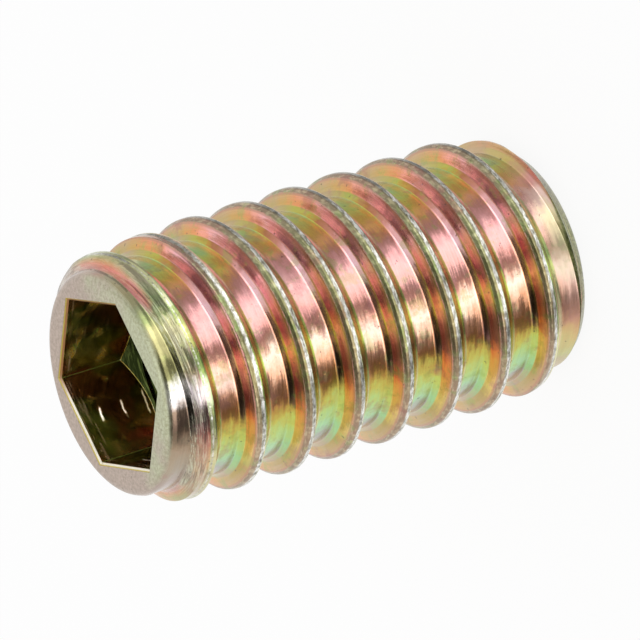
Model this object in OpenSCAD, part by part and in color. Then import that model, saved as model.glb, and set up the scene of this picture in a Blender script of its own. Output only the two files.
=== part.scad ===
// Hex-drive threaded insert for wood.
// It stands on its lead end: the axis is Z, the lead face is at z = 0 and the drive face is at z = body_l.
// The coarse outer thread is right-handed. The fine inner thread is left as a bore at its minor diameter.

/* [Body] */
// Length from the lead face to the drive face
body_l = 24; // [18:0.5:40]
// Diameter of the plain body between the threads
root_d = 11.2; // [10.6:0.1:12]
// Radius of the rounded edge round the drive face
drive_edge_r = 0.5; // [0.1:0.05:0.6]
// Length of the chamfer round the lead face
lead_chamfer_l = 0.36; // [0.2:0.02:0.6]
// Depth of the chamfer round the lead face
lead_chamfer_depth = 0.27; // [0.1:0.01:0.6]

/* [Outer thread] */
// Diameter over the crests
thread_d = 13.2; // [12.4:0.1:15]
// Axial distance from one crest to the next
thread_pitch = 2.8; // [2.4:0.1:4]
// Width of the flat along the crest
crest_w = 0.34; // [0.2:0.02:0.6]
// Axial width of the flank that faces the drive end
drive_flank_w = 0.6; // [0.5:0.02:0.9]
// Axial width of the flank that faces the lead end
lead_flank_w = 0.86; // [0.6:0.02:1]
// Height of the fillet at the foot of each flank
fillet_h = 0.23; // [0.1:0.01:0.3]
// Axial width of the fillet at the foot of the flank that faces the drive end
drive_fillet_w = 0.24; // [0.1:0.02:0.4]
// Axial width of the fillet at the foot of the flank that faces the lead end
lead_fillet_w = 0.4; // [0.1:0.02:0.5]
// Width of the bevel between the crest and the flank that faces the drive end
crest_bevel_w = 0.16; // [0.06:0.01:0.2]
// Height of that bevel
crest_bevel_h = 0.18; // [0.06:0.01:0.3]
// Angle round the axis, from X, at which a crest passes the drive face
thread_start_a = 158; // [0:2:358]

/* [Thread ends] */
// Plain length between the drive face and the start of the thread
start_l = 0.5; // [0.3:0.05:1]
// Length over which the first crest rises from the body
start_rise_l = 0.35; // [0.2:0.05:1.5]
// Diameter over the first crest, before the thread is full
first_crest_d = 12.5; // [12:0.1:13]
// Distance from the drive face at which the thread reaches its full diameter
full_l = 5.5; // [3:0.5:8]
// Distance from the lead face at which the crests begin to taper
taper_l = 2.8; // [1.5:0.1:5]
// Diameter over the last crest, where the taper ends
last_crest_d = 12.2; // [11.6:0.1:13]
// Distance from the lead face at which the last crest meets the end cone
last_crest_l = 0.8; // [0.7:0.05:1.2]
// Diameter of the end cone where the last crest drops onto it
end_cone_d = 11.6; // [11.4:0.05:12]
// Distance of that drop from the lead face
end_cone_l = 0.6; // [0.5:0.05:0.65]

/* [Socket and bore] */
// Width across the flats of the hex socket
hex_af = 8.1; // [7:0.1:8.4]
// Depth of the hex socket at its corners
hex_depth = 3.5; // [2:0.5:8]
// Width of the bevel round the mouth of the socket
hex_rim = 0.14; // [0.04:0.02:0.2]
// Angle of the cone between the socket and the bore
cone_angle = 100; // [80:5:130]
// Diameter of the through bore, the minor diameter of an M8 thread
bore_d = 6.7; // [5:0.1:6.8]
// Diameter of the countersink at the lead end
countersink_d = 8.4; // [7:0.1:9.4]
// Angle of that countersink
countersink_angle = 90; // [60:5:120]

/* [Hidden] */
eps = 0.01;
bore_fn = 96;

// Facets of the thread: columns round each turn, and rows along each turn's section
columns = 60;
rows_per_turn = 7;
edge_steps = 5;

root_r = root_d / 2;
thread_r = thread_d / 2;
drive_face_r = root_r - drive_edge_r;
lead_face_r = root_r - lead_chamfer_depth;
hex_d = hex_af / cos(30);

// Heights between which the thread is cut
start_z = body_l - max(start_l, drive_edge_r);
end_z = lead_chamfer_l;
turns = ceil(body_l / thread_pitch) + 2;

// The largest radius that the thread has at each height: it rises, is full, tapers and drops
function thread_limit(z) = lookup(z, [
    [end_z, root_r],
    [end_cone_l, end_cone_d / 2],
    [last_crest_l, last_crest_d / 2],
    [taper_l, thread_r],
    [body_l - full_l, thread_r],
    [start_z - start_rise_l, first_crest_d / 2],
    [start_z, root_r]
]);

// Fillet and bevel radii on the section, limited by the thread's own height
fillet_r = root_r + min(fillet_h, (thread_r - root_r) / 3);
bevel_r = thread_r - min(crest_bevel_h, (thread_r - root_r) / 3);

// Axial distance from the crest's middle to each flank, at a given radius
function drive_offset(r) = crest_w / 2 + lookup(r, [
    [root_r, drive_flank_w],
    [fillet_r, drive_flank_w - drive_fillet_w],
    [bevel_r, crest_bevel_w],
    [thread_r, 0]
]);
function lead_offset(r) = crest_w / 2 + lookup(r, [
    [root_r, lead_flank_w],
    [fillet_r, lead_flank_w - lead_fillet_w],
    [thread_r, 0]
]);

// Height of a crest's middle, a whole number of turns below the one that passes the drive face
function crest_z(turn, a) = body_l + thread_pitch * (turn - turns + (a - thread_start_a) / 360);

// Height of the flank on one side of a crest at height z, at a given radius
function flank_z(z, drive_side, r) = drive_side ? z + drive_offset(r) : z - lead_offset(r);

// Radius at which that flank meets the limit: whole, none of it, or found by halving the range
function meeting_r(z, drive_side) =
    thread_limit(flank_z(z, drive_side, thread_r)) >= thread_r ? thread_r :
    thread_limit(flank_z(z, drive_side, root_r + eps)) <= root_r + eps ? root_r :
    halved_r(z, drive_side, root_r, thread_r, 16);

function halved_r(z, drive_side, low, high, halvings) =
    let(
        r = (low + high) / 2,
        below = r < thread_limit(flank_z(z, drive_side, r))
    )
    halvings == 0 ? r : halved_r(z, drive_side, below ? r : low, below ? high : r, halvings - 1);

// Section of one turn as [height, radius] pairs, from its lead side up to its drive side
function turn_section(z) =
    let(
        lead_r = meeting_r(z, false),
        drive_r = meeting_r(z, true)
    )
    [
        [z - lead_offset(root_r), root_r],
        [z - lead_offset(min(fillet_r, lead_r)), min(fillet_r, lead_r)],
        [z - lead_offset(lead_r), lead_r],
        [z + drive_offset(drive_r), drive_r],
        [z + drive_offset(min(bevel_r, drive_r)), min(bevel_r, drive_r)],
        [z + drive_offset(min(fillet_r, drive_r)), min(fillet_r, drive_r)],
        [z + drive_offset(root_r), root_r]
    ];

// A point of the section held between the thread's two ends
function held(p) = let(z = min(max(p[0], end_z), start_z)) [z, min(p[1], thread_limit(z))];

// Outline of the body in the half plane at angle a, from the lead face up to the drive face
function column_outline(a) = [
    [0, lead_face_r],
    [end_z, root_r],
    for (turn = [0 : turns + 1])
        for (p = turn_section(crest_z(turn, a))) held(p),
    [start_z, root_r],
    for (step = [0 : edge_steps])
        let(q = 90 * step / edge_steps)
            [body_l - drive_edge_r * (1 - sin(q)), drive_face_r + drive_edge_r * cos(q)]
];

// Closed skin over the outer thread. Rows run along the helix, so each wraps round to the next turn's row.
module threaded_blank() {
    outlines = [for (c = [0 : columns - 1]) column_outline(360 * c / columns)];
    rows = len(outlines[0]);
    first_row = 2;
    last_row = rows - edge_steps - 3;
    points = [
        for (c = [0 : columns - 1])
            for (p = outlines[c])
                [p[1] * cos(360 * c / columns), p[1] * sin(360 * c / columns), p[0]]
    ];
    // Row of the next column that carries on row m of column c
    function next_row(c, m) =
        c < columns - 1 || m < first_row || m > last_row ? m : min(m + rows_per_turn, last_row);
    function next_point(c, m) = ((c + 1) % columns) * rows + next_row(c, m);
    quads = [
        for (c = [0 : columns - 1])
            for (m = [0 : rows - 2])
                [c * rows + m, c * rows + m + 1, next_point(c, m + 1), next_point(c, m)]
    ];
    triangles = [
        for (q = quads)
            for (t = [[q[0], q[1], q[2]], [q[0], q[2], q[3]]])
                if (points[t[0]] != points[t[1]] && points[t[1]] != points[t[2]] && points[t[2]] != points[t[0]]) t
    ];
    lead_cap = [for (c = [0 : columns - 1]) c * rows];
    drive_cap = [for (c = [columns - 1 : -1 : 0]) c * rows + rows - 1];
    polyhedron(points = points, faces = concat([lead_cap, drive_cap], triangles), convexity = 20);
}

// Hex socket with a bevelled mouth and a cone down to the bore
module socket() {
    cone_h = (hex_d - bore_d) / 2 / tan(cone_angle / 2);
    translate([0, 0, body_l - hex_depth])
        cylinder(h = hex_depth + eps, d = hex_d, $fn = 6);
    translate([0, 0, body_l - hex_rim])
        cylinder(h = hex_rim + eps, d1 = hex_d, d2 = hex_d + 2 * (hex_rim + eps) / cos(30), $fn = 6);
    translate([0, 0, body_l - hex_depth])
        intersection() {
            translate([0, 0, -cone_h])
                cylinder(h = cone_h, d1 = bore_d, d2 = hex_d, $fn = bore_fn);
            translate([0, 0, -cone_h - eps])
                cylinder(h = cone_h + 2 * eps, d = hex_d, $fn = 6);
        }
}

// Through bore with a countersunk mouth at the lead end
module bore() {
    countersink_h = (countersink_d - bore_d) / 2 / tan(countersink_angle / 2);
    translate([0, 0, -eps])
        cylinder(h = body_l, d = bore_d, $fn = bore_fn);
    translate([0, 0, -eps])
        cylinder(
            h = countersink_h + eps,
            d1 = countersink_d + 2 * eps * tan(countersink_angle / 2),
            d2 = bore_d,
            $fn = bore_fn
        );
}

module insert_body() {
    color("#c9a86a")
        difference() {
            threaded_blank();
            bore();
            socket();
        }
}

insert_body();
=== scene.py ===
# A hex-drive threaded insert for wood, standing on its lead end, in yellow passivated zinc plating.
# Lengths are written in millimetres and turned into metres by MM.
import math
from functools import lru_cache

import bmesh
import bpy
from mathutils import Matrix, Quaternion, Vector


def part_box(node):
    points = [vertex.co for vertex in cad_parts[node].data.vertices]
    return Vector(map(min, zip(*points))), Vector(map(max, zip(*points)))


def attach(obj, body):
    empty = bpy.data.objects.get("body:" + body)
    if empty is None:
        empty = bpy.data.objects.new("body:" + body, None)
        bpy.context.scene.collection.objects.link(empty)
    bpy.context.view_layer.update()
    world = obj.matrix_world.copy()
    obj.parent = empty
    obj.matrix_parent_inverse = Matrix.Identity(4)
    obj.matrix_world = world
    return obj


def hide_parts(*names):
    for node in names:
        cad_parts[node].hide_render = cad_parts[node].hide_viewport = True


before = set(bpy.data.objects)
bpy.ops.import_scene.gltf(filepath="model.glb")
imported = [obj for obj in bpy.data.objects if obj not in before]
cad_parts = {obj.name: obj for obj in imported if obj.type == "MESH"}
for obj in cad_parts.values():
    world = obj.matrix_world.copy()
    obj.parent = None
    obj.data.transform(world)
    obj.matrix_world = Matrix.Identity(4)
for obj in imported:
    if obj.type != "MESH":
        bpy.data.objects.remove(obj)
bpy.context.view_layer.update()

MM = 0.001
LOW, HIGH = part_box("insert_body")
BODY_L = (HIGH.z - LOW.z) / MM

# Outer thread, as in the source
PITCH = 2.8
ROOT_R = 5.6
THREAD_R = 6.6
CREST_W = 0.34
START_ANGLE = 158
EDGE_R = 0.5
START_Z = BODY_L - EDGE_R
END_Z = 0.36
TURNS = 10
COLUMNS = 120
EDGE_STEPS = 8
# The edge round the lead face: radius and height
LEAD_EDGE = [(ROOT_R, END_Z), (5.36, 0.035), (5.33, 0.008), (5.29, 0), (5.2, 0)]

# Section of one turn: height from the crest's middle, and radius
THREAD_SECTION = [
    (-1.54, 5.6), (-1.24, 5.6), (-1.04, 5.6), (-0.8, 5.68), (-0.62, 5.83), (-0.52, 6.0), (-0.42, 6.17),
    (-0.32, 6.34), (-0.17, 6.6), (-0.125, 6.6), (-0.075, 6.6), (-0.025, 6.6), (0.025, 6.6), (0.075, 6.595),
    (0.125, 6.585), (0.17, 6.57), (0.33, 6.42), (0.38, 6.272), (0.43, 6.125), (0.48, 5.978), (0.53, 5.83),
    (0.645, 5.715), (0.76, 5.6), (0.95, 5.6), (1.1, 5.6), (1.26, 5.6),
]
# Corners of the section that are rounded: height, radius and size of the rounding
ROUNDED_CORNERS = [
    (-1.04, 5.6, 0.12), (-0.8, 5.68, 0.07), (-0.62, 5.83, 0.07), (-0.17, 6.6, 0.04),
    (0.17, 6.57, 0.03), (0.33, 6.42, 0.035), (0.53, 5.83, 0.07), (0.76, 5.6, 0.07),
]
# The flanks without their rounding: radius, and distance from the crest's middle
DRIVE_FLANK = [(5.6, 0.76), (5.83, 0.53), (6.42, 0.33), (6.6, 0.17)]
LEAD_FLANK = [(5.6, 1.04), (5.68, 0.8), (5.83, 0.62), (6.6, 0.17)]
# The turned blank that limits the thread: height and radius
BLANK = [
    (END_Z, ROOT_R), (0.6, 5.8), (0.8, 6.1), (2.8, THREAD_R),
    (BODY_L - 5.5, THREAD_R), (START_Z - 0.35, 6.25), (START_Z, ROOT_R),
]

# Depth of the fold along the low first crest, and the heights over which it comes in
FOLD_DEPTH = 0.075
FOLD_SHARE = [(19.0, 0), (21.0, 1)]

# Inner thread, M8 x 1.25
INNER_PITCH = 1.25
INNER_TURNS = 19
INNER_FIRST_Z = -2.0
INNER_SECTION = [
    (-0.625, 3.35), (-0.45, 3.35), (-0.08, 3.99), (0.08, 3.99), (0.45, 3.35), (0.625, 3.35),
]
INNER_COLUMNS = 72

# Hex socket, the cone below it and the bore
HEX_R = 8.1 / 2 / math.cos(math.radians(30))
HEX_DEPTH = 3.5
HEX_RIM = 0.14
CONE_SLOPE = math.tan(math.radians(50))
CONE_COLUMNS = 96
BORE_R = 3.35
# Countersink at the lead end: its radii 1 mm below and 1 mm above the lead face
SINK_LOW_R, SINK_HIGH_R = 5.2, 3.2


# ---- Small modelling tools ----

def deselect_all():
    if bpy.context.object and bpy.context.object.mode == "EDIT":
        bpy.ops.object.mode_set(mode="OBJECT")
    bpy.ops.object.select_all(action="DESELECT")


def edit(piece):
    deselect_all()
    piece.select_set(True)
    bpy.context.view_layer.objects.active = piece
    bpy.ops.object.mode_set(mode="EDIT")
    bpy.ops.mesh.select_mode(type="VERT")


def leave_edit():
    bpy.ops.object.mode_set(mode="OBJECT")


def pick(piece, wanted, part="VERT"):
    """Selects the vertices or faces for which wanted(centre) is true, in edit mode."""
    bpy.ops.mesh.select_mode(type=part)
    bpy.ops.mesh.select_all(action="DESELECT")
    bpy.ops.object.mode_set(mode="OBJECT")
    mesh = piece.data
    if part == "VERT":
        for vertex in mesh.vertices:
            vertex.select = wanted(vertex.co)
    else:
        for face in mesh.polygons:
            face.select = wanted(face.center)
    bpy.ops.object.mode_set(mode="EDIT")


def extrude(step):
    bpy.ops.mesh.extrude_region_move(TRANSFORM_OT_translate={"value": step})


def scale_about_axis(factor, z):
    bpy.ops.transform.resize(value=(factor, factor, 1), center_override=(0, 0, z))


def apply_modifier(piece, name):
    bpy.context.view_layer.objects.active = piece
    bpy.ops.object.modifier_apply(modifier=name)


def cut(piece, cutter, operation="DIFFERENCE"):
    deselect_all()
    boolean = piece.modifiers.new("cut", "BOOLEAN")
    boolean.operation = operation
    boolean.solver = "EXACT"
    boolean.object = cutter
    apply_modifier(piece, boolean.name)
    bpy.data.objects.remove(cutter)


def settle(piece):
    """Puts the piece's place into its mesh."""
    deselect_all()
    piece.select_set(True)
    bpy.context.view_layer.objects.active = piece
    bpy.ops.object.transform_apply(location=True, rotation=True, scale=True)


def between(stations, x):
    """Straight-line reading of a list of (x, y) pairs."""
    if x <= stations[0][0]:
        return stations[0][1]
    for (x0, y0), (x1, y1) in zip(stations, stations[1:]):
        if x <= x1:
            return y0 + (y1 - y0) * (x - x0) / (x1 - x0)
    return stations[-1][1]


def section_line(name, section, first_z):
    """One vertex drawn out along a thread's section, as (height, radius) pairs."""
    deselect_all()
    height, radius = section[0]
    bpy.ops.mesh.primitive_plane_add(size=MM, location=(radius * MM, 0, (first_z + height) * MM))
    skin = bpy.context.object
    skin.name = name
    settle(skin)
    edit(skin)
    bpy.ops.mesh.merge(type="CENTER")
    for (h0, r0), (h1, r1) in zip(section, section[1:]):
        extrude(((r1 - r0) * MM, 0, (h1 - h0) * MM))
    leave_edit()
    return skin


def screw_up(skin, pitch, turns, columns):
    """Winds a section up the axis into a thread's skin."""
    screw = skin.modifiers.new("screw", "SCREW")
    screw.axis = "Z"
    screw.screw_offset = pitch * MM
    screw.iterations = turns
    screw.steps = screw.render_steps = columns
    apply_modifier(skin, screw.name)
    merge_doubles(skin)


def round_corner(skin, height, radius, size, first_z):
    """Rounds one corner of a section that isn't wound yet."""
    target = Vector((radius * MM, 0, (first_z + height) * MM))
    edit(skin)
    pick(skin, lambda co: (co - target).length < 0.004 * MM)
    bpy.ops.mesh.bevel(offset=size * MM, segments=3, affect="VERTICES")
    leave_edit()


def merge_doubles(piece):
    edit(piece)
    bpy.ops.mesh.select_all(action="SELECT")
    bpy.ops.mesh.remove_doubles(threshold=0.003 * MM)
    leave_edit()


def face_outwards(piece):
    edit(piece)
    bpy.ops.mesh.select_all(action="SELECT")
    bpy.ops.mesh.normals_make_consistent(inside=False)
    leave_edit()


def pick_rim(piece, z):
    """Selects the open edge at a height, in edit mode."""
    bpy.ops.mesh.select_mode(type="EDGE")
    bpy.ops.mesh.select_all(action="DESELECT")
    mesh = bmesh.from_edit_mesh(piece.data)
    for e in mesh.edges:
        e.select = e.is_boundary and all(abs(v.co.z / MM - z) < 0.01 for v in e.verts)
    mesh.select_flush_mode()
    bmesh.update_edit_mesh(piece.data)


def trim(skin, z, keep_above):
    """Cuts a skin off at a height and keeps one side."""
    edit(skin)
    bpy.ops.mesh.select_all(action="SELECT")
    bpy.ops.mesh.bisect(
        plane_co=(0, 0, z * MM), plane_no=(0, 0, 1), clear_inner=keep_above, clear_outer=not keep_above,
        threshold=0.0001 * MM)
    leave_edit()


# ---- The body and its outer thread ----

def crest_z_at(angle):
    """Height of a crest's middle at an angle in degrees; the others are whole pitches away."""
    return BODY_L + PITCH * (angle - START_ANGLE) / 360


@lru_cache(maxsize=None)
def corner_r(crest_z, drive_side):
    """Radius at which a flank meets the blank."""
    low, high = ROOT_R, THREAD_R

    def inside(r):
        z = crest_z + between(DRIVE_FLANK, r) if drive_side else crest_z - between(LEAD_FLANK, r)
        return r < between(BLANK, z)

    if inside(THREAD_R - 1e-6):
        return THREAD_R
    for _ in range(18):
        middle = (low + high) / 2
        low, high = (middle, high) if inside(middle) else (low, middle)
    return low


def fitted(h, r, crest_z):
    """Where a point of the full section goes when the crest is lower: down its own flank, or on to the blank."""
    lead_r, drive_r = corner_r(crest_z, False), corner_r(crest_z, True)
    if min(lead_r, drive_r) >= THREAD_R or r <= ROOT_R + 1e-4:
        return h, min(r, max(ROOT_R, between(BLANK, crest_z + h)))
    half = CREST_W / 2
    if abs(h) < half - 1e-4:
        share = (h + half) / CREST_W
        low = -between(LEAD_FLANK, lead_r)
        h1 = low + share * (between(DRIVE_FLANK, drive_r) - low)
        z = crest_z + h1
        fold = FOLD_DEPTH * math.sin(math.pi * share) ** 2 * between(FOLD_SHARE, z)
        return h1, max(ROOT_R, between(BLANK, z) - (THREAD_R - r) - fold)
    flank, sign, top = (DRIVE_FLANK, 1, drive_r) if h > 0 else (LEAD_FLANK, -1, lead_r)
    full = (top - ROOT_R) / (THREAD_R - ROOT_R)
    r1 = ROOT_R + (r - ROOT_R) * full
    h1 = sign * between(flank, r1) + (h - sign * between(flank, r)) * full
    return h1, max(ROOT_R, min(r1, between(BLANK, crest_z + h1)))


def fit_thread_to_blank(skin):
    for vertex in skin.data.vertices:
        x, y, z = vertex.co / MM
        angle = math.degrees(math.atan2(y, x))
        near = crest_z_at(angle)
        crest_z = round(near + PITCH * round((z - near + 0.14) / PITCH), 5)
        h, r = fitted(z - crest_z, math.hypot(x, y), crest_z)
        across = r / math.hypot(x, y)
        vertex.co = Vector((x * across, y * across, crest_z + h)) * MM
    merge_doubles(skin)


def make_round(skin, z, radius):
    """Brings the rim at a height to a true circle."""
    for vertex in skin.data.vertices:
        if abs(vertex.co.z / MM - z) < 0.002:
            across = radius * MM / math.hypot(vertex.co.x, vertex.co.y)
            vertex.co.x *= across
            vertex.co.y *= across


def draw_through(rings):
    """Draws the open loop that is selected through (radius, height) rings, and closes it with a face."""
    for (r0, z0), (r1, z1) in zip(rings, rings[1:]):
        extrude((0, 0, (z1 - z0) * MM))
        scale_about_axis(r1 / r0, z1 * MM)
    bpy.ops.mesh.edge_face_add()


def threaded_blank():
    first_z = crest_z_at(0) - PITCH * (TURNS - 1)
    skin = section_line("threaded_insert", THREAD_SECTION, first_z)
    for height, radius, size in ROUNDED_CORNERS:
        round_corner(skin, height, radius, size, first_z)
    screw_up(skin, PITCH, TURNS, COLUMNS)
    fit_thread_to_blank(skin)
    trim(skin, START_Z, keep_above=False)
    trim(skin, END_Z, keep_above=True)
    for z in (START_Z, END_Z):
        make_round(skin, z, ROOT_R)
    merge_doubles(skin)
    drive_edge = [(ROOT_R, START_Z)]
    for step in range(1, EDGE_STEPS + 1):
        q = math.radians(90 * step / EDGE_STEPS)
        drive_edge.append((ROOT_R - EDGE_R + EDGE_R * math.cos(q), START_Z + EDGE_R * math.sin(q)))
    drive_edge.append((ROOT_R - EDGE_R - 0.03, BODY_L))
    edit(skin)
    pick_rim(skin, START_Z)
    draw_through(drive_edge)
    pick_rim(skin, END_Z)
    draw_through(LEAD_EDGE)
    bpy.ops.mesh.select_all(action="SELECT")
    bpy.ops.mesh.remove_doubles(threshold=0.002 * MM)
    leave_edit()
    face_outwards(skin)
    return skin


# ---- The socket, the bore and the inner thread ----

def hexagon_prism(depth, middle_z):
    deselect_all()
    bpy.ops.mesh.primitive_cylinder_add(
        vertices=6, radius=HEX_R * MM, depth=depth * MM, rotation=(0, 0, math.radians(30)),
        location=(0, 0, middle_z * MM))
    prism = bpy.context.object
    settle(prism)
    return prism


def cone(r1, r2, depth, middle_z):
    deselect_all()
    bpy.ops.mesh.primitive_cone_add(
        vertices=CONE_COLUMNS, radius1=r1 * MM, radius2=r2 * MM, depth=depth * MM, location=(0, 0, middle_z * MM))
    piece = bpy.context.object
    settle(piece)
    return piece


def socket_cutter():
    """The hexagon, flared from the foot of the bevelled rim up past the drive face."""
    prism = hexagon_prism(HEX_DEPTH, BODY_L - HEX_DEPTH / 2 - HEX_RIM)
    edit(prism)
    pick(prism, lambda co: co.z / MM > BODY_L - 1, "FACE")
    reach = HEX_RIM + 0.1
    extrude((0, 0, reach * MM))
    scale_about_axis((HEX_R + reach / math.cos(math.radians(30))) / HEX_R, 0)
    pick(prism, lambda co: co.z / MM < BODY_L - 3, "FACE")
    bpy.ops.transform.translate(value=(0, 0, HEX_RIM * MM))
    leave_edit()
    return prism


def cone_cutter():
    """The cone under the socket, held inside the hexagon."""
    height = (HEX_R - BORE_R) / CONE_SLOPE
    below, above = 0.6, 0.05
    middle_z = BODY_L - HEX_DEPTH - height / 2 - below / 2 + above / 2
    cutter = cone(BORE_R - below * CONE_SLOPE, HEX_R + above * CONE_SLOPE, height + below + above, middle_z)
    cut(cutter, hexagon_prism(8, BODY_L - HEX_DEPTH), "INTERSECT")
    return cutter


def countersink_cutter():
    return cone(SINK_LOW_R, SINK_HIGH_R, 2, 0)


def inner_thread_cutter():
    skin = section_line("inner_thread", INNER_SECTION, INNER_FIRST_Z)
    screw_up(skin, INNER_PITCH, INNER_TURNS, INNER_COLUMNS)
    for z, keep_above in ((-0.5, True), (BODY_L - HEX_DEPTH + 0.05, False)):
        trim(skin, z, keep_above)
        edit(skin)
        pick_rim(skin, z)
        bpy.ops.mesh.edge_face_add()
        leave_edit()
    face_outwards(skin)
    return skin


insert = threaded_blank()
cut(insert, inner_thread_cutter())
cut(insert, socket_cutter())
cut(insert, cone_cutter())
cut(insert, countersink_cutter())
settle(insert)
bpy.ops.object.shade_smooth_by_angle(angle=math.radians(35))

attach(insert, "root")
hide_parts("insert_body")


# ---- Shading tools ----

class Value:
    """A number that varies over a surface. Arithmetic on it adds the Math nodes."""

    def __init__(self, shade, socket):
        self.shade, self.socket = shade, socket

    def math(self, operation, *others):
        return self.shade.math(operation, self, *others)

    def __add__(self, other):
        return self.math("ADD", other)

    def __radd__(self, other):
        return self.math("ADD", other)

    def __sub__(self, other):
        return self.math("SUBTRACT", other)

    def __rsub__(self, other):
        return self.shade.math("SUBTRACT", other, self)

    def __mul__(self, other):
        return self.math("MULTIPLY", other)

    def __rmul__(self, other):
        return self.math("MULTIPLY", other)

    def __truediv__(self, other):
        return self.math("DIVIDE", other)

    def __rtruediv__(self, other):
        return self.shade.math("DIVIDE", other, self)

    def over(self, edge, softness):
        """0 below the edge and 1 above it, with a soft step."""
        step = self.shade.add(
            "ShaderNodeMapRange", {"interpolation_type": "SMOOTHSTEP"},
            {"Value": self, "From Min": edge - softness, "From Max": edge + softness})
        return Value(self.shade, step.outputs[0])

    def under(self, edge, softness):
        return 1.0 - self.over(edge, softness)

    def within(self, low, high, softness):
        return self.over(low, softness) * self.under(high, softness)


class Node:
    """One node; value() reads one of its outputs as a number."""

    def __init__(self, shade, node):
        self.shade, self.node = shade, node
        self.outputs = node.outputs

    def value(self, output=0):
        return Value(self.shade, self.node.outputs[output])


class Shade:
    """The node tree of one material, or of the world."""

    def __init__(self, owner):
        owner.use_nodes = True
        self.tree = owner.node_tree
        self.tree.nodes.clear()

    def add(self, kind, settings=None, inputs=None):
        """One node: its settings first, then its sockets, each a number, a colour, a Value or a socket."""
        node = self.tree.nodes.new(kind)
        for name, setting in (settings or {}).items():
            if name == "stops":
                self.set_stops(node.color_ramp, setting)
            else:
                setattr(node, name, setting)
        for name, given in (inputs or {}).items():
            given = given.socket if isinstance(given, Value) else given
            if isinstance(given, bpy.types.NodeSocket):
                self.tree.links.new(given, node.inputs[name])
            else:
                node.inputs[name].default_value = given
        return Node(self, node)

    def math(self, operation, *values):
        return self.add("ShaderNodeMath", {"operation": operation}, dict(enumerate(values))).value()

    @staticmethod
    def set_stops(ramp, stops):
        while len(ramp.elements) < len(stops):
            ramp.elements.new(1.0)
        for element, (position, colour) in zip(ramp.elements, stops):
            element.position = position
            element.color = colour

    def place(self):
        """Object coordinates in millimetres, as x, y, z."""
        spot = self.add("ShaderNodeTexCoord").outputs["Object"]
        parts = self.add("ShaderNodeSeparateXYZ", None, {0: spot})
        return [parts.value(i) * (1 / MM) for i in range(3)]

    def vector(self, x, y, z):
        return self.add("ShaderNodeCombineXYZ", None, {0: x, 1: y, 2: z}).outputs[0]

    def noise(self, vector, scale, detail=2.0, roughness=0.5):
        texture = self.add(
            "ShaderNodeTexNoise", {"noise_dimensions": "3D"},
            {"Vector": vector, "Scale": scale, "Detail": detail, "Roughness": roughness})
        return texture.value(0)

    def ramp(self, value, stops):
        return self.add("ShaderNodeValToRGB", {"stops": stops}, {0: value}).outputs[0]

    def mix(self, share, below, above, blend="MIX"):
        node = self.add(
            "ShaderNodeMix", {"data_type": "RGBA", "blend_type": blend, "clamp_factor": True},
            {0: share, 6: below, 7: above})
        return node.outputs[2]


def colour(code):
    """A colour written as red, green and blue from 0 to 255, as a screen shows it."""
    linear = [(c / 255 / 12.92) if c <= 10 else ((c / 255 + 0.055) / 1.055) ** 2.4 for c in code]
    return (*linear, 1.0)


def round_the_axis(stops):
    """Ramp stops from angles in degrees, from -90 to 90, to positions from 0 to 1."""
    return [((angle + 90) / 180, colour(code)) for angle, code in stops]


# ---- The plating ----

# Side of the body, as an angle from X, that the hues are laid out from: the side towards the main camera.
# The layout is fixed on the body and repeats every half turn.
FACING = -47.93
# Hues of the film: angle from that side, and colour. Their light and dark steps are partly painted highlights and
# painted shade, set where reflections fall in the main camera's view: the neck's white stop and its near-black
# stops, the dark stops of the band and the drive flank, and the pale yellow stop near the lead end.

ROOT_HUES_AND_PAINTED_LIGHT = [
    (-90, (195, 160, 132)), (-74, (156, 156, 144)), (-64, (166, 210, 158)), (-53, (182, 208, 122)),
    (-45, (196, 188, 84)), (-38, (186, 148, 64)), (-31, (190, 128, 76)), (-22, (234, 172, 136)),
    (-12, (250, 226, 204)), (-4, (236, 176, 150)), (0, (225, 155, 138)), (6, (246, 180, 170)),
    (15, (252, 192, 186)), (23, (232, 166, 164)), (31, (196, 136, 124)), (39, (206, 146, 92)),
    (48, (210, 168, 74)), (57, (204, 208, 96)), (64, (176, 216, 132)), (74, (205, 212, 150)),
    (90, (195, 160, 132)),
]
BAND_HUES_AND_PAINTED_LIGHT = [
    (-90, (180, 150, 110)), (-66, (158, 204, 140)), (-50, (190, 200, 96)), (-42, (188, 165, 72)),
    (-35, (116, 86, 52)), (-27, (112, 84, 64)), (-20, (184, 128, 94)), (-12, (236, 162, 112)),
    (-2, (248, 184, 150)), (5, (236, 166, 136)), (10, (215, 165, 152)), (20, (230, 184, 190)),
    (32, (224, 166, 164)), (42, (190, 126, 108)), (53, (165, 108, 66)), (60, (182, 142, 58)),
    (68, (178, 174, 74)), (90, (180, 150, 110)),
]
DRIVE_HUES_AND_PAINTED_LIGHT = [
    (-90, (190, 165, 110)), (-70, (178, 154, 78)), (-61, (220, 194, 92)), (-53, (248, 206, 116)),
    (-45, (250, 180, 104)), (-38, (248, 136, 92)), (-30, (176, 90, 104)), (-22, (182, 98, 124)),
    (-13, (255, 154, 186)), (-5, (255, 136, 180)), (1, (184, 108, 150)), (8, (250, 176, 222)),
    (17, (255, 202, 246)), (25, (126, 90, 112)), (35, (138, 96, 114)), (45, (252, 176, 196)),
    (54, (255, 192, 200)), (62, (252, 170, 150)), (70, (228, 152, 96)), (80, (205, 165, 92)),
    (90, (190, 165, 110)),
]
LEAD_HUES_AND_PAINTED_LIGHT = [
    (-90, (190, 180, 140)), (-50, (226, 222, 164)), (-34, (150, 162, 98)), (-22, (130, 150, 76)),
    (-13, (180, 206, 80)), (-6, (162, 184, 84)), (0, (124, 150, 76)), (8, (150, 146, 66)), (18, (160, 146, 74)),
    (28, (160, 145, 105)), (42, (250, 215, 186)), (60, (250, 212, 182)), (90, (190, 180, 140)),
]
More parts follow.
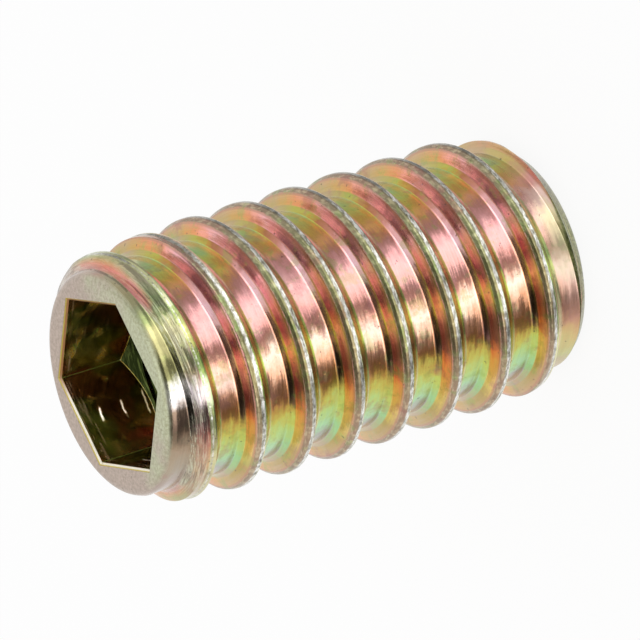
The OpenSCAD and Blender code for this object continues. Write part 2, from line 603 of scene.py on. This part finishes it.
BEVEL_HUES_AND_PAINTED_LIGHT = [
    (-90, (165, 140, 118)), (-52, (190, 152, 130)), (-40, (180, 152, 124)), (-22, (160, 138, 100)),
    (-10, (165, 150, 100)), (0, (150, 142, 96)), (15, (136, 138, 94)), (30, (136, 130, 96)),
    (45, (158, 140, 116)), (65, (165, 128, 112)), (90, (165, 140, 118)),
]
NECK_HUES_AND_PAINTED_LIGHT = [
    (-90, (164, 146, 132)), (-70, (172, 146, 136)), (-50, (166, 132, 126)), (-36, (92, 78, 76)),
    (-25, (106, 100, 88)), (-14, (250, 250, 250)), (-5, (112, 134, 76)), (8, (126, 144, 76)),
    (18, (190, 196, 122)), (27, (124, 158, 86)), (38, (104, 126, 94)), (58, (138, 122, 114)),
    (75, (158, 120, 112)), (90, (164, 146, 132)),
]
END_HUES_AND_PAINTED_LIGHT = [
    (-90, (200, 170, 130)), (-66, (205, 188, 112)), (-52, (220, 176, 128)), (-36, (216, 160, 144)),
    (-20, (228, 190, 176)), (-8, (214, 198, 172)), (2, (176, 182, 142)), (10, (200, 206, 152)),
    (18, (250, 246, 192)), (28, (234, 212, 196)), (40, (212, 154, 150)), (60, (196, 184, 112)),
    (75, (200, 162, 138)), (90, (200, 170, 130)),
]


class Coating:
    """Where a point lies on the insert, and the marks and stains that all its finishes share."""

    def __init__(self, shade):
        self.shade = shade
        self.x, self.y, self.z = x, y, z = shade.place()
        self.angle = y.math("ARCTAN2", x)
        self.radius = (x * x + y * y).math("SQRT")
        self.depth = BODY_L - z
        self.across = 1.0 / self.radius
        self.along = z + self.radius * 2.2
        self.toward = self.facing(FACING)
        self.side = self.facing(FACING + 90)

        # Marks of the tools run round the axis; stains, specks and pits lie as they fell
        self.streaks = self.brushed(3.0, 4.0, 3.0, 0.7)
        self.lines = self.brushed(1.5, 13.0, 1.0, 0.5)
        self.worn = self.brushed(16.0, 9.0, 4.0, 0.7)
        self.scuffs = self.brushed(6.0, 10.0, 3.0, 0.75)
        self.spot = shade.vector(x, y, z)
        self.blotches = shade.noise(self.spot, 0.55, 4.0, 0.65)
        self.stains = shade.noise(shade.vector(x + 20.0, y, z), 1.1, 4.0, 0.65)
        self.turns = shade.noise(shade.vector(x * 0.04, y * 0.04, z * 0.45), 1.0, 1.0, 0.5)
        self.specks = shade.noise(self.spot, 8.0, 2.0, 0.6)
        self.grain = shade.noise(self.spot, 6.0, 3.0, 0.7)
        self.waves = shade.noise(self.spot, 1.1, 2.0, 0.5)
        self.pits = shade.noise(self.spot, 4.5, 1.0, 0.5).over(0.755, 0.03)

        # Height from the nearest crest's middle
        turn = (z - crest_z_at(0)) / PITCH - self.angle / (2 * math.pi)
        self.height = ((turn + 0.5).math("FRACT") - 0.5) * PITCH

        # Angle round the axis, folded into two equal halves, with a ragged edge
        ragged = ((self.streaks - 0.5) * 14.0 + (self.blotches - 0.5) * 22.0
                  + (self.stains - 0.5) * 16.0 + (self.turns - 0.5) * 30.0)
        self.folded = ((self.angle * (180 / math.pi) - FACING + ragged + 90.0) / 180.0).math("FRACT")

        # Parts of the body
        self.raised = self.radius.over(ROOT_R + 0.015, 0.01)
        self.above = self.height.over(0.0, 0.01)
        self.on_drive = self.above * self.raised
        self.bevel = self.height.over(0.03, 0.02) * (self.radius + (self.worn - 0.5) * 0.16).over(6.44, 0.035)
        self.bevel = self.bevel * self.on_drive
        self.near_end = (z + (self.blotches - 0.5) * 1.2).under(1.7, 0.6)
        self.on_face = (self.depth + (self.blotches - 0.5) * 0.2).under(0.16, 0.1) * self.radius.over(4.0, 0.05)
        self.in_socket = self.depth.over(0.02, 0.01) * self.radius.under(5.0, 0.05) * z.over(18.0, 0.5)

    def facing(self, degrees):
        """1 on the side of the body at that angle round the axis, -1 on the opposite side."""
        a = math.radians(degrees)
        return (self.x * math.cos(a) + self.y * math.sin(a)) * self.across

    def brushed(self, round_scale, along_scale, detail, roughness):
        """Noise drawn out round the axis, as a tool leaves it."""
        place = self.shade.vector(
            self.x * self.across * round_scale, self.y * self.across * round_scale, self.along * along_scale)
        return self.shade.noise(place, 1.0, detail, roughness)

    def by_angle(self, hues):
        return self.shade.ramp(self.folded, round_the_axis(hues))


def thread_film_and_painted_light(at):
    """The passivation on the outer thread, with painted highlights and painted shade: one set of hues for each
    face of its section, whose light and dark steps are partly painted light, then wear and stains.
    """
    shade, on_drive = at.shade, at.on_drive
    film_and_painted_light = shade.mix((1.0 - at.above) * at.raised, at.by_angle(ROOT_HUES_AND_PAINTED_LIGHT), at.by_angle(LEAD_HUES_AND_PAINTED_LIGHT))
    film_and_painted_light = shade.mix(on_drive, film_and_painted_light, at.by_angle(BAND_HUES_AND_PAINTED_LIGHT))
    film_and_painted_light = shade.mix(on_drive * at.height.under(0.53, 0.02), film_and_painted_light, at.by_angle(DRIVE_HUES_AND_PAINTED_LIGHT))
    rosy = on_drive * at.height.under(0.42, 0.06) * (0.6 - at.turns * 0.7)
    film_and_painted_light = shade.mix(rosy, film_and_painted_light, colour((216, 160, 146)))
    film_and_painted_light = shade.mix(on_drive * at.radius.over(6.34, 0.05) * 0.75, film_and_painted_light, colour((186, 140, 118)))
    film_and_painted_light = shade.mix(at.bevel, film_and_painted_light, at.by_angle(BEVEL_HUES_AND_PAINTED_LIGHT))
    flecks = shade.mix(at.worn.over(0.54, 0.1), colour((84, 86, 52)), colour((206, 202, 158)))
    film_and_painted_light = shade.mix(at.bevel * 0.4, film_and_painted_light, flecks)
    film_and_painted_light = shade.mix(at.stains.over(0.59, 0.05) * 0.3, film_and_painted_light, colour((130, 172, 84)))
    return shade.mix(at.blotches.over(0.6, 0.06) * 0.35, film_and_painted_light, colour((160, 96, 100)))


def ends_film_and_painted_light(at, film_and_painted_light):
    """The neck and the first ridge are greener and scuffed, and their hues hold a painted highlight and painted
    shade; the lead end is paler, with a green-grey cone, and its hues hold a painted highlight.
    """
    shade = at.shade
    behind = at.folded.over(0.67, 0.05) + at.folded.under(0.05, 0.04)
    near_face = (at.depth + (at.blotches - 0.5) * 1.5).under(2.0, 0.7)
    ridge = shade.ramp(at.radius - ROOT_R, [
        (0.02, colour((196, 104, 122))), (0.25, colour((240, 128, 112))), (0.42, colour((206, 164, 92))),
        (0.55, colour((156, 186, 116)))])
    film_and_painted_light = shade.mix(near_face * behind * at.raised * 0.65, film_and_painted_light, ridge)
    near_face = near_face * (1.0 - behind * at.raised * 0.7)
    film_and_painted_light = shade.mix(near_face * 0.82, film_and_painted_light, at.by_angle(NECK_HUES_AND_PAINTED_LIGHT))
    scuffed = near_face * at.raised * (at.scuffs - 0.5).math("ABSOLUTE").over(0.06, 0.05)
    scuff_colour = shade.mix(at.scuffs.over(0.5, 0.05), colour((78, 80, 58)), colour((214, 216, 190)))
    film_and_painted_light = shade.mix(scuffed * 0.55, film_and_painted_light, scuff_colour)
    film_and_painted_light = shade.mix(at.near_end * 0.7, film_and_painted_light, at.by_angle(END_HUES_AND_PAINTED_LIGHT))
    end_cone = (at.z - at.raised * 0.34 + (at.stains - 0.5) * 0.1).under(0.37, 0.03)
    green_grey = shade.mix(at.specks.over(0.5, 0.2), colour((78, 86, 52)), colour((142, 150, 98)))
    return shade.mix(end_cone * 0.85, film_and_painted_light, green_grey)


def bare_crests(at):
    """Share and colour of the bare, silvery metal along the crests, where they stand as high as the blank lets
    them. Between 48 and 86 degrees from the main camera's side, and half a turn on, the colour is darkened:
    painted shade.
    """
    shade = at.shade
    near = ((at.depth - 0.85) / 4.65 * 0.35 + 6.25).math("MINIMUM", THREAD_R)
    far = ((at.z - 0.8) / 2.0 * 0.5 + 6.1).math("MINIMUM", THREAD_R)
    top = (at.radius - near.math("MINIMUM", far) + (at.specks - 0.5) * 0.04).over(-0.05, 0.02)
    crest = top * (at.height + (at.specks - 0.5) * 0.1).within(-0.14, 0.05, 0.03)
    crest_silver_and_painted_shade = shade.ramp(at.worn, [
        (0.32, colour((84, 82, 68))), (0.41, colour((152, 148, 134))), (0.50, colour((198, 196, 184))),
        (0.60, colour((250, 250, 246))), (0.75, colour((172, 168, 154)))])
    # Painted shade: the crests are darkened between 48 and 86 degrees from the main camera's side.
    return crest, shade.mix(at.folded.within(0.77, 0.98, 0.05) * 0.65, crest_silver_and_painted_shade, colour((100, 96, 80)))


def face_colour(at):
    """The drive face is matt and grainy, rosy on one side and greenish on the other."""
    shade = at.shade
    rosy = shade.mix(at.grain.over(0.5, 0.2), colour((166, 150, 136)), colour((194, 176, 163)))
    greenish = shade.mix(at.grain.over(0.5, 0.2), colour((168, 168, 136)), colour((196, 200, 168)))
    return shade.mix((at.toward + (at.blotches - 0.5) * 1.6).over(0.45, 0.5), rosy, greenish)


def socket_finish(at, base):
    """The dark socket, with painted highlights on its wall marks, lip and rim, and painted shade in its cone.
    Returns its colour, where it glints, and how dull it is.
    """
    shade, x, y, z, depth, radius = at.shade, at.x, at.y, at.z, at.depth, at.radius
    # The side a quarter turn from the main camera's side, where the painted glints fade and the rim is painted
    # tan instead of a near-white highlight
    away = at.side.over(0.1, 0.2)

    # Brown and olive patches, gold stains, and brush lines near the mouth
    patches = shade.noise(shade.vector(x, y, z * 0.5), 0.75, 1.5, 0.5)
    dark = shade.ramp(patches, [
        (0.34, colour((196, 128, 86))), (0.45, colour((220, 160, 104))), (0.52, colour((170, 166, 90))),
        (0.60, colour((240, 236, 132))), (0.68, colour((255, 250, 176)))])
    gold = shade.noise(shade.vector(x + z * 0.5, y - z * 0.5, z * 0.7 + 4.0), 0.9, 3.0, 0.6)
    gilt = (gold + at.side * 0.06).over(0.6, 0.09) * depth.within(0.4, 2.6, 0.3) * radius.under(4.5, 0.15)
    gilt_colour = shade.mix(at.stains.over(0.5, 0.05), colour((255, 196, 60)), colour((176, 200, 70)))
    dark = shade.mix(gilt * 0.8, dark, gilt_colour)
    brush = shade.noise(shade.vector(x * 0.6, y * 0.6, z * 8.0), 1.0, 1.0, 0.5)
    brush = brush.over(0.58, 0.03) * depth.within(0.16, 0.8, 0.06)
    dark = shade.mix(brush * 0.7, dark, colour((224, 190, 160)))

    # Short bright marks across the middle of each wall, painted near-white as glints: painted highlights, faint
    # on the side a quarter turn from the main camera's side
    wall_angle = ((at.angle * (3 / math.pi)).math("FRACT") - 0.5) * (math.pi / 3)
    along_wall = radius * wall_angle.math("SINE")
    ripple = ((depth + along_wall * 0.06 + (at.stains - 0.5) * 0.3) / 1.25 + 0.5).math("FRACT") - 0.5
    marks = ripple.math("ABSOLUTE").under(0.04, 0.05)
    marks = marks * (along_wall + (at.blotches - 0.5) * 2.0).within(-0.5, 0.5, 0.15)
    marks = marks * depth.over(0.45, 0.05) * (1.0 - away * 0.85)
    dark = shade.mix(marks, dark, colour((255, 250, 240)))

    # The cone, painted near-black green: partly its own darker film, partly painted shade at the foot of the
    # socket.
    # Its bright lip, painted near-white: a painted highlight. The corners between the walls.
    # The bevelled rim: gold at its top, below that near-white as a painted highlight, tan on one side.
    cone_z = BODY_L - HEX_DEPTH - (HEX_R - radius) / CONE_SLOPE
    off_cone = z - cone_z
    on_cone = off_cone.under(0.012, 0.006)
    cone_colour_and_painted_shade = shade.mix(at.streaks.over(0.56, 0.12), colour((38, 46, 20)), colour((96, 108, 56)))
    base = shade.mix(at.in_socket, base, shade.mix(on_cone, dark, cone_colour_and_painted_shade))
    corner = at.in_socket * radius.over(4.662, 0.006)
    base = shade.mix(corner, base, colour((150, 160, 84)))
    lip = at.in_socket * off_cone.within(0.015, 0.05, 0.01)
    base = shade.mix(lip, base, colour((236, 244, 214)))
    rim = depth.within(0.02, HEX_RIM, 0.01) * at.in_socket
    rim_colour_and_painted_highlight = shade.mix(away, colour((246, 240, 224)), colour((176, 128, 84)))
    rim_colour_and_painted_highlight = shade.mix(depth.over(0.06, 0.015), colour((206, 188, 92)), rim_colour_and_painted_highlight)
    base = shade.mix(rim, base, rim_colour_and_painted_highlight)
    glints = at.in_socket * (marks + lip)
    dull = at.in_socket * (marks * 0.3 + corner * 0.3 + (gilt + brush * 0.6) * (1.0 - on_cone) * 0.25)
    return base, glints, dull


def turned_normal(at, glints):
    """Tool marks sway the surface round the axis, and the socket's glints look up."""
    shade = at.shade
    sway = (at.streaks - 0.5) * 0.25 + (at.lines - 0.5) * 0.1
    sway = sway * (1.0 - at.on_face) * (1.0 - at.in_socket) * at.across
    normal = shade.add("ShaderNodeNewGeometry").outputs["Normal"]
    turned = shade.add("ShaderNodeVectorMath", {"operation": "ADD"}, {
        0: normal, 1: shade.vector(0.0 - at.y * sway, at.x * sway, glints * 0.45)}).outputs[0]
    return shade.add("ShaderNodeVectorMath", {"operation": "NORMALIZE"}, {0: turned}).outputs[0]


def plating():
    """Iridescent passivation over brushed zinc, worn to bare, silvery metal along the crests, with painted
    highlights and painted shade in its hues and in the socket, and painted shade on the crests.
    """
    material = bpy.data.materials.new("passivated_zinc_and_painted_light")
    shade = Shade(material)
    at = Coating(shade)
    film_and_painted_light = ends_film_and_painted_light(at, thread_film_and_painted_light(at))
    crest, crest_silver_and_painted_shade = bare_crests(at)
    base = shade.mix(crest, film_and_painted_light, crest_silver_and_painted_shade)
    base = shade.mix(at.on_face, base, face_colour(at))
    base, glints, dull = socket_finish(at, base)
    value = 0.8 + at.streaks * 0.2 + at.lines * 0.2
    base = shade.mix(1.0, base, shade.vector(value, value, value), "MULTIPLY")
    base = shade.mix(at.pits * 0.6, base, colour((60, 52, 40)))

    fine_relief = at.specks * (0.2 + crest * 0.4 + at.bevel * 0.8)
    relief = at.waves * 1.6 + at.streaks * 0.4 + fine_relief + at.grain * at.on_face * 1.2 - at.pits * 0.6
    bump = shade.add("ShaderNodeBump", None, {
        "Strength": 1.0, "Distance": 0.012 * MM, "Height": relief, "Normal": turned_normal(at, glints)})
    rough = (0.1 + at.streaks * 0.22 + crest * 0.1 + at.on_face * 0.25 + at.near_end * 0.12
             + at.bevel * 0.1 + dull * 0.3)
    surface = shade.add("ShaderNodeBsdfPrincipled", None, {
        "Base Color": base, "Metallic": 1.0 - dull, "Roughness": rough, "Normal": bump.outputs[0],
        "Coat Weight": 0.4 - at.in_socket * 0.4, "Coat Roughness": 0.2})
    shade.add("ShaderNodeOutputMaterial", None, {"Surface": surface.outputs[0]})
    return material


insert.data.materials.clear()
insert.data.materials.append(plating())


# ---- Camera, floor and light ----

CAMERA_AZIMUTH, CAMERA_ELEVATION, CAMERA_ROLL = 42.075, 28.75, -107.134
CAMERA_AIM = (3.413, -3.81, 14.677)
CAMERA_DISTANCE = 0.5


def direction(azimuth, elevation):
    a, e = math.radians(azimuth), math.radians(elevation)
    return Vector((math.sin(a) * math.cos(e), -math.cos(a) * math.cos(e), math.sin(e)))


back = direction(CAMERA_AZIMUTH, CAMERA_ELEVATION)
camera = bpy.data.objects.new("camera", bpy.data.cameras.new("camera"))
bpy.context.scene.collection.objects.link(camera)
camera.rotation_mode = "QUATERNION"
camera.rotation_quaternion = back.to_track_quat("Z", "Y") @ Quaternion((0, 0, 1), math.radians(CAMERA_ROLL))
camera.location = Vector(CAMERA_AIM) * MM + back * CAMERA_DISTANCE
camera.data.sensor_width = 36
camera.data.lens = 588.58
camera.data.clip_start, camera.data.clip_end = 0.01, 10
bpy.context.scene.camera = camera
bpy.context.scene.view_settings.view_transform = "Standard"

# Cards of a light tent: azimuths from the camera's own, elevations, and brightness (1 is white)
TENT_R = 0.25
CARD_STEPS = 12
CARD_FEATHER = 0.08
CARDS = {
    "softbox_left": ((-44, -8), (-75, -8), 1.55),
    "softbox_right": ((6, 48), (-75, -8), 1.4),
    "gap_between": ((-12, 10), (-75, -8), 0.35),
    "flag_left": ((-75, -40), (-75, -8), 0.22),
    "flag_right": ((44, 78), (-75, -8), 0.55),
    "wall_right": ((76, 140), (-75, -8), 0.5),
    "upper_left": ((-56, -6), (-8, 32), 2.2),
    "upper_right": ((-2, 66), (-8, 32), 2.2),
    "camera_left": ((-92, -36), (32, 68), 0.01),
    "camera_side": ((-40, 24), (32, 70), 0.06),
    "behind_left": ((70, 130), (52, 74), 0.35),
    "overhead": ((0, 360), (76, 90), 2.2),
}


def soft_edged_glow(owner, brightness):
    """An even glow that fades out towards the card's two upright edges."""
    shade = Shade(owner)
    uv = shade.add("ShaderNodeTexCoord").outputs["UV"]
    across = shade.add("ShaderNodeSeparateXYZ", None, {0: uv}).value(0)
    inside = across.over(CARD_FEATHER, CARD_FEATHER) * across.under(1 - CARD_FEATHER, CARD_FEATHER)
    light = shade.add("ShaderNodeEmission", None, {"Color": (1, 1, 1, 1), "Strength": brightness})
    clear = shade.add("ShaderNodeBsdfTransparent")
    mixed = shade.add("ShaderNodeMixShader", None, {0: inside, 1: clear.outputs[0], 2: light.outputs[0]})
    shade.add("ShaderNodeOutputMaterial", None, {"Surface": mixed.outputs[0]})


def card(name, azimuths, elevations, brightness):
    """A curved card of the tent, which only reflections see."""
    deselect_all()
    bpy.ops.mesh.primitive_grid_add(x_subdivisions=CARD_STEPS, y_subdivisions=CARD_STEPS, size=1)
    sheet = bpy.context.object
    sheet.name = name
    for vertex in sheet.data.vertices:
        across, up = vertex.co.x + 0.5, vertex.co.y + 0.5
        azimuth = CAMERA_AZIMUTH + azimuths[0] + (azimuths[1] - azimuths[0]) * across
        elevation = elevations[0] + (elevations[1] - elevations[0]) * up
        vertex.co = direction(azimuth, elevation) * TENT_R + Vector((0, 0, BODY_L / 2 * MM))
    sheet.visible_camera = sheet.visible_diffuse = sheet.visible_shadow = False
    material = bpy.data.materials.new(name)
    soft_edged_glow(material, brightness)
    sheet.data.materials.append(material)


for name, (azimuths, elevations, brightness) in CARDS.items():
    card(name, azimuths, elevations, brightness)


def seen_as_background(shade):
    """1 for the rays of the camera, of reflections and through glass."""
    path = shade.add("ShaderNodeLightPath")
    rays = path.value("Is Camera Ray").math("MAXIMUM", path.value("Is Glossy Ray"))
    return rays.math("MAXIMUM", path.value("Is Transmission Ray"))


def white_world():
    world = bpy.data.worlds.new("studio")
    bpy.context.scene.world = world
    shade = Shade(world)
    strength = 0.9 + seen_as_background(shade) * 0.1
    light = shade.add("ShaderNodeBackground", None, {"Color": (1, 1, 1, 1), "Strength": strength})
    shade.add("ShaderNodeOutputWorld", None, {"Surface": light.outputs[0]})


def pale_floor():
    deselect_all()
    bpy.ops.mesh.primitive_plane_add(size=4, location=(0, 0, 0))
    floor = bpy.context.object
    floor.name = "floor"
    floor.visible_glossy = floor.visible_shadow = False
    material = bpy.data.materials.new("floor")
    shade = Shade(material)
    matt = shade.add("ShaderNodeBsdfDiffuse", None, {"Color": (0.95, 0.95, 0.95, 1)})
    white = shade.add("ShaderNodeEmission", None, {"Color": (1, 1, 1, 1), "Strength": 1.0})
    seen = seen_as_background(shade) * 0.9
    mixed = shade.add("ShaderNodeMixShader", None, {0: seen, 1: matt.outputs[0], 2: white.outputs[0]})
    shade.add("ShaderNodeOutputMaterial", None, {"Surface": mixed.outputs[0]})
    floor.data.materials.append(material)


white_world()
pale_floor()
